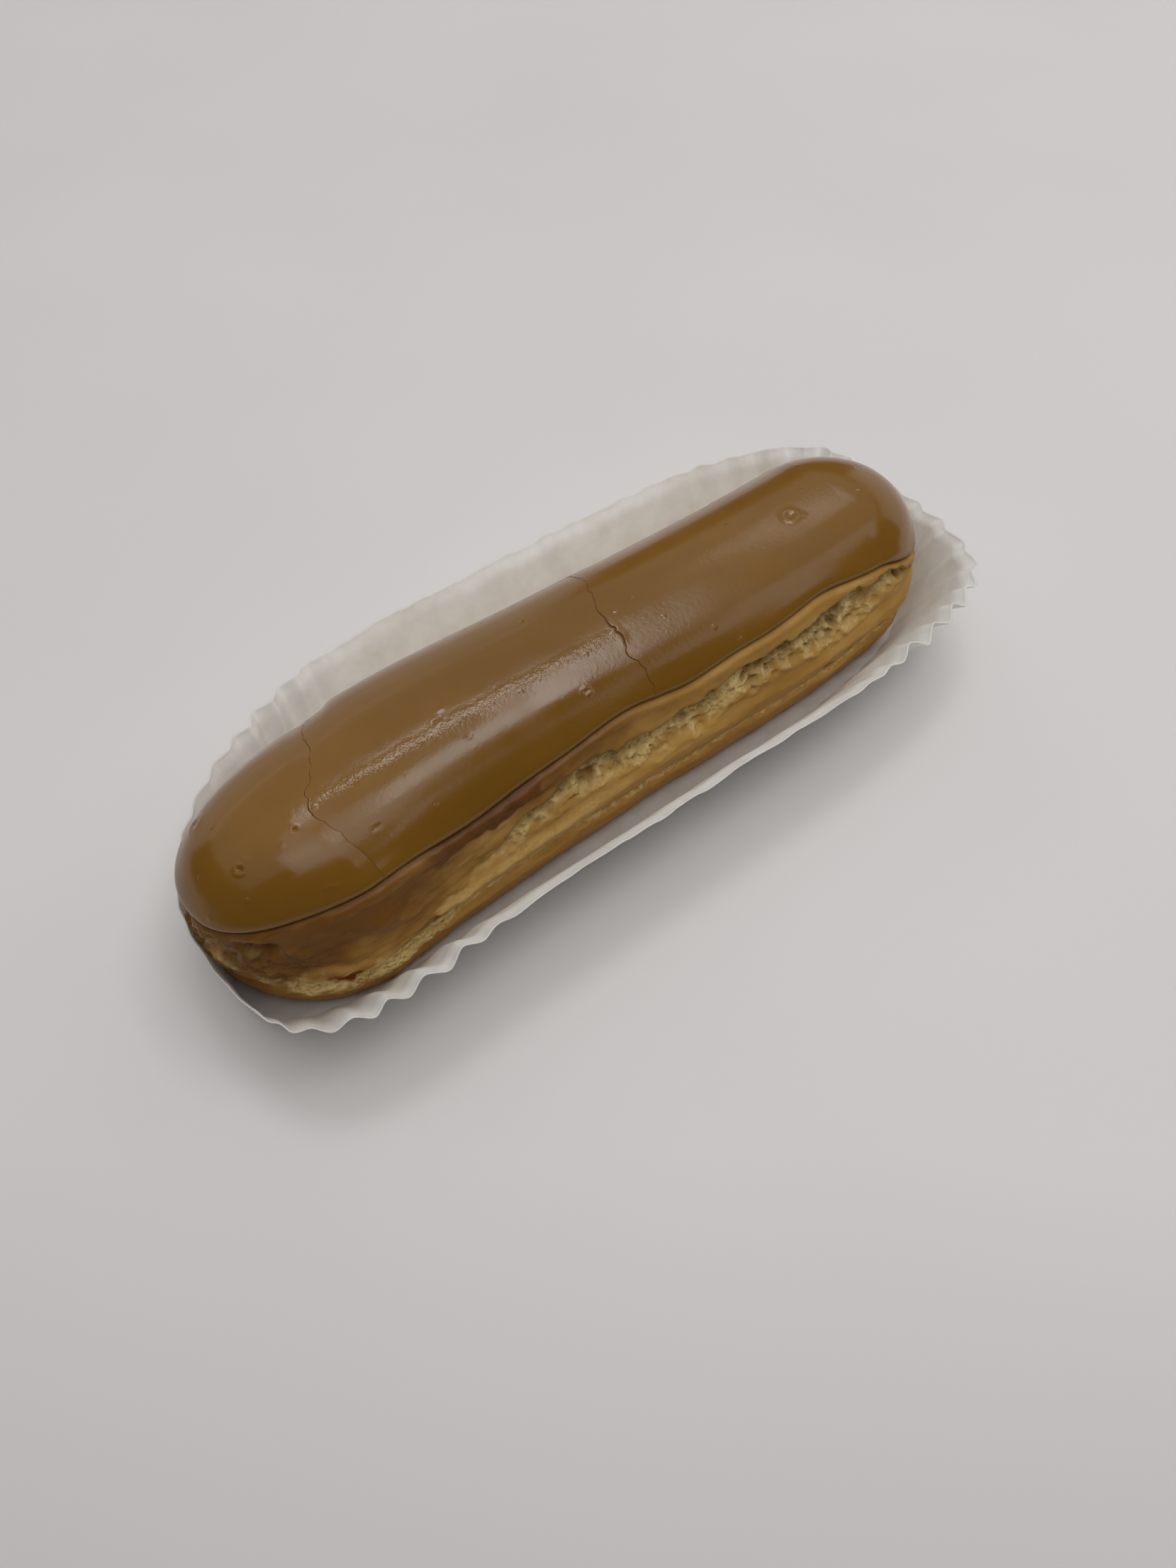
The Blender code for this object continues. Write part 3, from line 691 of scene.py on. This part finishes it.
    # Darker just under the icing's lip: painted contact shadow, partly icing smeared on the crust.
    browning_and_painted_light = np.maximum(browning_and_painted_light, 0.60 * step(z, edge - 3.4, edge - 0.6) * (1.0 - torn))
    masks = {}
    for name, values in (
        ("crumb_and_highlight", crumb_and_highlight),
        ("hollow_shade", hollow_shade),
        ("smear", smear),
        ("toffee", toffee),
        ("shaded_pockets", shaded_pockets),
        ("orange", orange),
        ("browning_and_painted_light", browning_and_painted_light),
    ):
        full = np.zeros(rows.shape[:2])
        full[skirt:side_end] = values
        masks[name] = full
    return wrapped("choux_crust", rows, masks)


# ---------------------------------------------------------------- paper case

def round_values(values, turn):
    """Between the values of the four quarters, whose middles are an eighth of a turn apart."""
    place = (turn / (2.0 * math.pi) * 4.0 - 0.5) % 4.0
    index = place.astype(int)
    values = np.asarray(values, float)
    return blend(values[index % 4], values[(index + 1) % 4], step(place - index, 0.0, 1.0))


def oblong(turn, middle, half_length, half_width, bow, squareness):
    """Points of a rounded oblong outline that bends with the eclair."""
    exponent = 2.0 / round_values(squareness, turn)
    along = np.copysign(np.abs(np.cos(turn)) ** exponent, np.cos(turn))
    across = np.copysign(np.abs(np.sin(turn)) ** exponent, np.sin(turn))
    y = through(bow, 0.5 + 0.5 * along) + half_width * across
    return np.stack([middle + half_length * along, y, np.zeros(len(turn))], -1)


def foot_points(turn):
    """The line where the wall leaves the floor."""
    sizes = (FLOOR_MIDDLE, FLOOR_HALF_LENGTH, FLOOR_HALF_WIDTH, FLOOR_BOW, FLOOR_SQUARENESS)
    points = oblong(turn, *sizes)
    points[:, 0] += TUCKED_FOOT * step(-points[:, 0], 40.0, 64.0)
    return points


def rim_points(turn):
    """The wall's upper edge."""
    points = oblong(turn, RIM_MIDDLE, RIM_HALF_LENGTH, RIM_HALF_WIDTH, RIM_BOW, RIM_SQUARENESS)
    points[:, 2] = round_values(RIM_HEIGHTS, turn + math.pi / 4.0)
    return points


def pleating(points):
    """How deep the pleats are: full round both ends, none along the sides, slight at one tip."""
    x, y = points[:, 0], points[:, 1]
    left = step(-x, blend(24.0, 14.0, step(y, 0.0, 10.0)), 38.0)
    right = step(x, blend(36.0, 48.0, step(y, 0.0, 10.0)), 62.0)
    pressed = step(-x, 58.0, 64.0) * step(y, -24.0, -16.0)
    near_left = step(-x, 20.0, 40.0) * (1.0 - step(y, -22.0, -6.0))
    return np.maximum(left, right) * (1.0 - 0.7 * pressed) * (1.0 - 0.3 * near_left)


def paper_case():
    """The paper case: a flat oblong floor and a leaning wall, pleated round both ends."""
    fine = np.linspace(0.0, 2.0 * math.pi, RIM_SAMPLES)
    rim = rim_points(fine)
    lengths = np.linalg.norm(np.diff(rim, axis=0), axis=1)
    total = np.concatenate([[0.0], np.cumsum(lengths)])
    pleats = round(total[-1] / PLEAT)
    count = pleats * POINTS_PER_PLEAT
    share = np.arange(count) / count
    turn = np.interp(share * total[-1], total, fine)
    fold_turn = share * pleats * 2.0 * math.pi
    foot, rim = foot_points(turn), rim_points(turn)
    along = rim_points(turn + 0.01) - rim_points(turn - 0.01)
    along /= np.linalg.norm(along, axis=1, keepdims=True)
    slope = rim - foot
    slope /= np.linalg.norm(slope, axis=1, keepdims=True)
    out = np.cross(along, slope)
    out /= np.linalg.norm(out, axis=1, keepdims=True)
    line = np.stack([share * total[-1], share * 0.0, share * 0.0], -1)
    uneven = 1.0 + 0.45 * lumps(line, 9.0, 101)
    phase = fold_turn + 0.9 * lumps(line, 11.0, 102) * step(pleating(rim), 0.0, 0.5)
    sharp = blend(0.93, 0.70, step(-rim[:, 0], 20.0, 40.0) * (1.0 - step(rim[:, 1], -22.0, -6.0)))
    fold = np.arcsin(sharp * np.sin(phase)) / np.arcsin(sharp)
    ripple = 0.20 * lumps(line, 16.0, 103) + 0.10 * lumps(line, 5.0, 104) - 0.2
    flare = (0.65 + 0.4 * lumps(line, 22.0, 106)) * (1.0 - 0.8 * step(-rim[:, 0], 40.0, 60.0))
    deep = PLEAT_DEPTH * pleating(rim) * uneven * (1.0 + 0.35 * step(rim[:, 0], 62.0, 78.0))
    # The wall is pressed up against the left end of the bun, a little lower and plainer there.
    tucked = step(-rim[:, 0], 50.0, 64.0)
    corner = tucked * bump(rim[:, 1], -23.0, 12.0)
    lower = TUCKED_RIM * tucked + TUCKED_RIM * tucked * (1.0 - step(rim[:, 1], -8.0, 6.0))
    deep = deep * (1.0 - 0.45 * tucked)
    rises = 1.0 - (1.0 - np.linspace(0.0, 1.0, WALL_RINGS + 1)) ** 1.4
    outside, inside = [], []
    for rise in rises:
        curl = flare * (step(rise, 0.88, 1.0) - step(rise, 0.1, 0.7))
        middle = foot + (rim - foot) * rise
        middle[:, 2] -= lower * rise
        lean = TUCKED_CORNER * corner * rise
        away = out * (fold * deep * rise**0.6 + ripple * rise + curl - lean)[:, None]
        shell = middle + away
        shell[:, 2] += 0.35 * lumps(line, 3.0, 105) * step(rise, 0.6, 1.0)
        for rows, inward in ((outside, 0.0), (inside, PAPER)):
            points = shell - out * inward
            points[:, 2] = np.maximum(points[:, 2], inward)
            rows.append(points)
    centre = np.tile((FLOOR_MIDDLE, 2.0, 0.0), (count, 1))
    rows = [centre] + outside + inside[::-1] + [centre + (0.0, 0.0, PAPER)]
    return wrapped("paper_case_sheet", np.array(rows), {})


# ---------------------------------------------------------------- materials

def shader_of(name, roughness, colour):
    """A new material, its nodes and its shader."""
    made = bpy.data.materials.new(name)
    made.use_nodes = True
    shader = made.node_tree.nodes["Principled BSDF"]
    shader.inputs["Roughness"].default_value = roughness
    shader.inputs["Base Color"].default_value = (*colour, 1.0)
    made.diffuse_color = (*colour, 1.0)
    return made, made.node_tree, shader


def node(tree, kind, place, **values):
    """A node at a place of the sheet, with its values by name."""
    made = tree.nodes.new(kind)
    made.location = (place[0] * 190.0, place[1] * 190.0)
    for key, value in values.items():
        if key in made.inputs:
            made.inputs[key].default_value = value
        else:
            setattr(made, key, value)
    return made


def place_of(tree, place, stretch):
    """The piece's own coordinates, stretched where that is asked for."""
    source = node(tree, "ShaderNodeTexCoord", (place[0] - 3, place[1]))
    vector = source.outputs["Object"]
    if stretch:
        mapping = node(tree, "ShaderNodeMapping", (place[0] - 2, place[1]))
        mapping.inputs["Scale"].default_value = stretch
        tree.links.new(vector, mapping.inputs["Vector"])
        vector = mapping.outputs["Vector"]
    return vector


def noise_of(tree, place, size, detail=3.0, rough=0.55, stretch=None):
    """Noise with its size in millimetres."""
    made = node(tree, "ShaderNodeTexNoise", place, Detail=detail, Roughness=rough)
    made.inputs["Scale"].default_value = 1.0 / (size * MM)
    tree.links.new(place_of(tree, place, stretch), made.inputs["Vector"])
    return made.outputs["Fac"]


def cells_of(tree, place, size, stretch=None):
    """The distance to scattered points that are about size millimetres apart."""
    made = node(tree, "ShaderNodeTexVoronoi", place, feature="F1")
    made.inputs["Scale"].default_value = 1.0 / (size * MM)
    tree.links.new(place_of(tree, place, stretch), made.inputs["Vector"])
    return made.outputs["Distance"]


def mask_of(tree, place, name):
    """One of the masks that a piece's points carry."""
    made = node(tree, "ShaderNodeAttribute", place, attribute_name=name)
    return made.outputs["Fac"]


def ramp_of(tree, place, value, stops):
    """A colour for each value, from stops of a value and a colour."""
    made = node(tree, "ShaderNodeValToRGB", place)
    ramp = made.color_ramp
    while len(ramp.elements) < len(stops):
        ramp.elements.new(0.5)
    for element, (position, colour) in zip(ramp.elements, stops):
        element.position = position
        element.color = (*colour, 1.0)
    tree.links.new(value, made.inputs["Fac"])
    return made.outputs["Color"]


def feed(tree, socket, value):
    """Sets a socket to a number or a colour, or links another node's output to it."""
    if isinstance(value, (int, float)):
        socket.default_value = value
    elif isinstance(value, tuple):
        socket.default_value = (*value, 1.0)
    else:
        tree.links.new(value, socket)


def mix_of(tree, place, share, first, second):
    """A mix of two colours, which the mix node takes in sockets 6 and 7 and gives in output 2."""
    made = node(tree, "ShaderNodeMix", place, data_type="RGBA")
    feed(tree, made.inputs[0], share)
    feed(tree, made.inputs[6], first)
    feed(tree, made.inputs[7], second)
    return made.outputs[2]


def math_of(tree, place, kind, first, second):
    """The sum, the difference or the product of two values."""
    made = node(tree, "ShaderNodeMath", place, operation=kind)
    feed(tree, made.inputs[0], first)
    feed(tree, made.inputs[1], second)
    return made.outputs[0]


def scaled(tree, place, value, share):
    """A value times another."""
    return math_of(tree, place, "MULTIPLY", value, share)


def range_of(tree, place, value, low, high, to_low=0.0, to_high=1.0):
    """A value brought from one range to another, and kept inside it."""
    made = node(tree, "ShaderNodeMapRange", place)
    made.inputs["From Min"].default_value = low
    made.inputs["From Max"].default_value = high
    made.inputs["To Min"].default_value = to_low
    made.inputs["To Max"].default_value = to_high
    tree.links.new(value, made.inputs["Value"])
    return made.outputs["Result"]


def bump_of(tree, place, height, strength, distance, under=None):
    """A fine relief, as high as distance in millimetres, on top of the one under it."""
    made = node(tree, "ShaderNodeBump", place, Strength=strength, Distance=distance * MM)
    tree.links.new(height, made.inputs["Height"])
    if under is not None:
        tree.links.new(under, made.inputs["Normal"])
    return made.outputs["Normal"]


def icing_finish():
    made, tree, shader = shader_of("coffee_icing_gloss", 0.2, (0.22, 0.10, 0.011))
    cloud = noise_of(tree, (-6, 3), 26.0, 3.0, 0.55, (0.45, 1.0, 1.0))
    fine = noise_of(tree, (-6, 1), 3.2, 4.0, 0.6)
    colour = ramp_of(
        tree, (-5, 3), cloud,
        (
            (0.30, (0.185, 0.082, 0.0070)),
            (0.52, (0.216, 0.097, 0.0090)),
            (0.72, (0.250, 0.116, 0.0130)),
        ),
    )
    darker = range_of(tree, (-5, 1), fine, 0.35, 0.75, 0.0, 0.25)
    colour = mix_of(tree, (-4, 3), darker, colour, (0.178, 0.077, 0.006))
    crack = mask_of(tree, (-5, -1), "crack")
    # Painted shade: the cracks' floor is coloured a darker brown.
    painted_crack_shade = scaled(tree, (-4, -1), crack, 0.85)
    colour = mix_of(tree, (-3, 3), painted_crack_shade, colour, (0.120, 0.045, 0.006))
    tree.links.new(colour, shader.inputs["Base Color"])
    crest = mask_of(tree, (-5, -2), "crest")
    rough = range_of(tree, (-3, 0), noise_of(tree, (-6, -3), 7.0, 3.0), 0.3, 0.7, 0.13, 0.22)
    rough = math_of(tree, (-2.5, 0), "SUBTRACT", rough, scaled(tree, (-3, -2), crest, 0.07))
    rough = math_of(tree, (-2, 0), "ADD", rough, scaled(tree, (-3, -1), crack, 0.4))
    tree.links.new(rough, shader.inputs["Roughness"])
    grain = noise_of(tree, (-4, -4), 0.8, 2.0, 0.6)
    normal = bump_of(tree, (-2, -3), grain, 0.5, 0.035)
    grit = scaled(tree, (-3, -6), noise_of(tree, (-5, -6), 0.55, 2.0, 0.6), crest)
    normal = bump_of(tree, (-1.7, -3), grit, 0.8, 0.10, normal)
    specks = range_of(tree, (-4, -5), cells_of(tree, (-6, -5), 5.5), 0.05, 0.11, 1.0, 0.0)
    normal = bump_of(tree, (-1.3, -3), specks, 0.7, 0.08, normal)
    tree.links.new(normal, shader.inputs["Normal"])
    shader.inputs["IOR"].default_value = 1.50
    return made


def choux_finish():
    made, tree, shader = shader_of("baked_choux_crust", 0.55, (0.45, 0.27, 0.09))
    crumb_and_highlight = mask_of(tree, (-9, 6), "crumb_and_highlight")
    hollow_shade = mask_of(tree, (-9, 5), "hollow_shade")
    smear = mask_of(tree, (-9, 4), "smear")
    toffee = mask_of(tree, (-9, 3), "toffee")
    shaded_pockets = mask_of(tree, (-9, 2), "shaded_pockets")
    orange = mask_of(tree, (-9, 7), "orange")
    browning_and_painted_light = mask_of(tree, (-9, 8), "browning_and_painted_light")
    cloud = noise_of(tree, (-8, 1), 9.0, 4.0, 0.6, (0.35, 0.8, 1.0))
    streak = noise_of(tree, (-8, -1), 2.6, 3.0, 0.6, (0.25, 0.6, 1.0))
    fine = noise_of(tree, (-8, -3), 1.1, 4.0, 0.65)
    baked = ramp_of(
        tree, (-7, 1), cloud,
        ((0.28, (0.41, 0.205, 0.036)), (0.50, (0.52, 0.285, 0.064)), (0.74, (0.64, 0.385, 0.105))),
    )
    # The browning mask darkens the crust; it also carries a painted highlight on the upper ridge
    # and painted shadow under the lip.
    darker = scaled(tree, (-8, 8), browning_and_painted_light, 0.75)
    baked = mix_of(tree, (-6.5, 1), darker, baked, (0.270, 0.110, 0.012))
    lighter = range_of(tree, (-7, -1), streak, 0.42, 0.75, 0.0, 0.35)
    baked = mix_of(tree, (-6, 1), lighter, baked, (0.70, 0.44, 0.14))
    source = node(tree, "ShaderNodeTexCoord", (-10, -5))
    split = node(tree, "ShaderNodeSeparateXYZ", (-9, -5))
    tree.links.new(source.outputs["Object"], split.inputs[0])
    low = range_of(tree, (-8, -5), split.outputs["Z"], 8.5 * MM, 1.0 * MM)
    baked = mix_of(tree, (-5, 1), scaled(tree, (-7, -5), low, 0.8), baked, (0.50, 0.225, 0.045))
    pale = ramp_of(
        tree, (-7, 4), noise_of(tree, (-8, 5), 2.4, 4.0, 0.65),
        ((0.30, (0.64, 0.44, 0.155)), (0.52, (0.85, 0.64, 0.275)), (0.78, (0.94, 0.77, 0.41))),
    )
    # Painted shade: dark dots in the pale inside where its pores are.
    pore_shade = cells_of(tree, (-8, 7), 1.1, (0.7, 1.0, 1.0))
    pore_shade = range_of(tree, (-7, 7), pore_shade, 0.08, 0.36, 0.6, 0.0)
    pale = mix_of(tree, (-6, 4), pore_shade, pale, (0.38, 0.22, 0.06))
    # Pale where the inside shows, and where a highlight is painted on the upper ridge.
    colour = mix_of(tree, (-4, 3), crumb_and_highlight, baked, pale)
    patchy = range_of(tree, (-6, 6), cloud, 0.40, 0.64, 0.08, 0.85)
    glaze = mix_of(tree, (-4, 5), patchy, (0.150, 0.052, 0.003), baked)
    colour = mix_of(tree, (-3, 3), scaled(tree, (-4, 4), smear, 0.92), colour, glaze)
    # Painted shade: the holes of the crust are coloured a darker brown inside.
    colour = mix_of(tree, (-2.5, 3), scaled(tree, (-4, 2), shaded_pockets, 0.6), colour, (0.22, 0.11, 0.03))
    colour = mix_of(tree, (-2, 3), toffee, colour, (0.140, 0.048, 0.005))
    # Painted shade: the colour goes dark in the hollows of the torn band, under its roof and in the
    # crevices.
    shaded = scaled(tree, (-3, 5), hollow_shade, 0.78)
    colour = mix_of(tree, (-1.5, 3), shaded, colour, (0.20, 0.100, 0.016))
    colour = mix_of(tree, (-1, 3), orange, colour, (0.22, 0.050, 0.002))
    tree.links.new(colour, shader.inputs["Base Color"])
    rough = range_of(tree, (-4, -1), fine, 0.3, 0.7, 0.45, 0.62)
    rough = math_of(tree, (-3, -1), "ADD", rough, scaled(tree, (-4, -2), crumb_and_highlight, 0.3))
    rough = math_of(tree, (-2, -1), "SUBTRACT", rough, scaled(tree, (-3, -2), smear, 0.17))
    tree.links.new(rough, shader.inputs["Roughness"])
    pits = cells_of(tree, (-5, -6), 0.8, (0.8, 1.0, 1.0))
    pits = range_of(tree, (-4, -6), pits, 0.1, 0.5)
    normal = bump_of(tree, (-2, -5), scaled(tree, (-3, -6), pits, crumb_and_highlight), 0.8, 0.4)
    normal = bump_of(tree, (-1.5, -5), fine, 0.5, 0.10, normal)
    normal = bump_of(tree, (-1, -5), streak, 0.30, 0.08, normal)
    wrinkles = noise_of(tree, (-4, -8), 2.0, 4.0, 0.68, (0.40, 0.8, 1.3))
    normal = bump_of(tree, (-0.5, -5), scaled(tree, (-3, -8), wrinkles, smear), 0.6, 0.35, normal)
    tree.links.new(normal, shader.inputs["Normal"])
    shader.inputs["Specular IOR Level"].default_value = 0.22
    return made


def paper_finish():
    made, tree, shader = shader_of("white_greaseproof_paper", 0.62, (0.78, 0.75, 0.71))
    mottle = noise_of(tree, (-6, 3), 5.5, 4.0, 0.62)
    fibre = noise_of(tree, (-6, 1), 0.7, 3.0, 0.6, (0.4, 1.0, 1.0))
    colour = ramp_of(
        tree, (-4, 3), mottle,
        ((0.30, (0.70, 0.665, 0.61)), (0.52, (0.78, 0.75, 0.70)), (0.75, (0.84, 0.815, 0.775))),
    )
    tree.links.new(colour, shader.inputs["Base Color"])
    shader.inputs["Subsurface Weight"].default_value = 0.5
    shader.inputs["Subsurface Radius"].default_value = (1.0, 0.9, 0.8)
    shader.inputs["Subsurface Scale"].default_value = 1.0 * MM
    normal = bump_of(tree, (-2, 0), fibre, 0.35, 0.04)
    normal = bump_of(tree, (-1, 0), noise_of(tree, (-4, -2), 9.0, 2.0), 0.4, 0.5, normal)
    tree.links.new(normal, shader.inputs["Normal"])
    return made


def floor_finish():
    made, tree, shader = shader_of("pale_table", 0.6, (0.79, 0.76, 0.75))
    cloud = noise_of(tree, (-4, 1), 120.0, 2.0)
    colour = ramp_of(
        tree, (-2, 1), cloud,
        ((0.3, (0.77, 0.745, 0.735)), (0.7, (0.80, 0.775, 0.765))),
    )
    # Painted shadow: the table goes darker towards the near side.
    source = node(tree, "ShaderNodeTexCoord", (-6, -1))
    turned = node(tree, "ShaderNodeMapping", (-5, -1))
    turned.inputs["Rotation"].default_value = (0.0, 0.0, math.radians(37.0))
    tree.links.new(source.outputs["Object"], turned.inputs["Vector"])
    split = node(tree, "ShaderNodeSeparateXYZ", (-4, -1))
    tree.links.new(turned.outputs["Vector"], split.inputs[0])
    painted_near_shadow = range_of(tree, (-3, -1), split.outputs["Y"], -0.075, -0.15, 0.0, 1.0)
    colour = mix_of(tree, (-1, 1), painted_near_shadow, colour, (0.63, 0.605, 0.60))
    tree.links.new(colour, shader.inputs["Base Color"])
    return made


# ---------------------------------------------------------------- table, light and camera

def table():
    bpy.ops.object.select_all(action="DESELECT")
    bpy.ops.mesh.primitive_plane_add(size=TABLE_SIZE, location=(0.0, 0.0, -TABLE_BELOW))
    made = bpy.context.object
    made.name = "pale_table_top"
    made.data.materials.append(floor_finish())


def panel(name, middle, size, brightness, aim):
    """A flat soft light whose face has the given brightness and looks at a point."""
    lamp = bpy.data.lights.new(name, "AREA")
    lamp.shape = "RECTANGLE"
    lamp.size, lamp.size_y = size
    lamp.energy = brightness * math.pi * size[0] * size[1]
    made = bpy.data.objects.new(name, lamp)
    bpy.context.scene.collection.objects.link(made)
    made.location = middle
    along, across, up = np.array(aim) - np.array(middle)
    flat = math.hypot(along, across)
    if flat > 0.0:
        made.rotation_euler = (math.atan2(flat, -up), 0.0, math.atan2(-along, across))


def lights():
    """Soft overhead panels, a pale ceiling beyond them, and a darker near side."""
    for name, (left, right, near, far, brightness) in PANELS.items():
        along, across = (left + right) / 2.0, (near + far) / 2.0
        size = (right - left, far - near)
        panel(name, (along, across, PANEL_HEIGHT), size, brightness, (along, across, 0.0))
    for name, (middle, size, brightness, aim) in WALLS.items():
        panel(name, middle, size, brightness, aim)
    world = bpy.data.worlds.new("soft_room")
    world.use_nodes = True
    background = world.node_tree.nodes["Background"]
    background.inputs["Color"].default_value = (1.0, 0.985, 0.97, 1.0)
    background.inputs["Strength"].default_value = 0.06
    bpy.context.scene.world = world


def camera():
    data = bpy.data.cameras.new("view")
    data.lens = CAMERA_LENS
    data.sensor_width = CAMERA_SENSOR
    made = bpy.data.objects.new("view", data)
    made.location = CAMERA_PLACE
    made.rotation_euler = [math.radians(angle) for angle in CAMERA_TURN]
    bpy.context.scene.collection.objects.link(made)
    bpy.context.scene.camera = made
    bpy.context.scene.view_settings.view_transform = "Standard"


def dress(piece, cad_node, finish):
    """Gives a piece its material, and shows it in place of its solid."""
    piece.data.materials.clear()
    piece.data.materials.append(finish)
    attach(piece, "root")
    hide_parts(cad_node)


dress(paper_case(), "paper_case", paper_finish())
dress(choux_bun(), "choux_bun", choux_finish())
dress(coffee_icing(), "coffee_icing", icing_finish())
table()
lights()
camera()
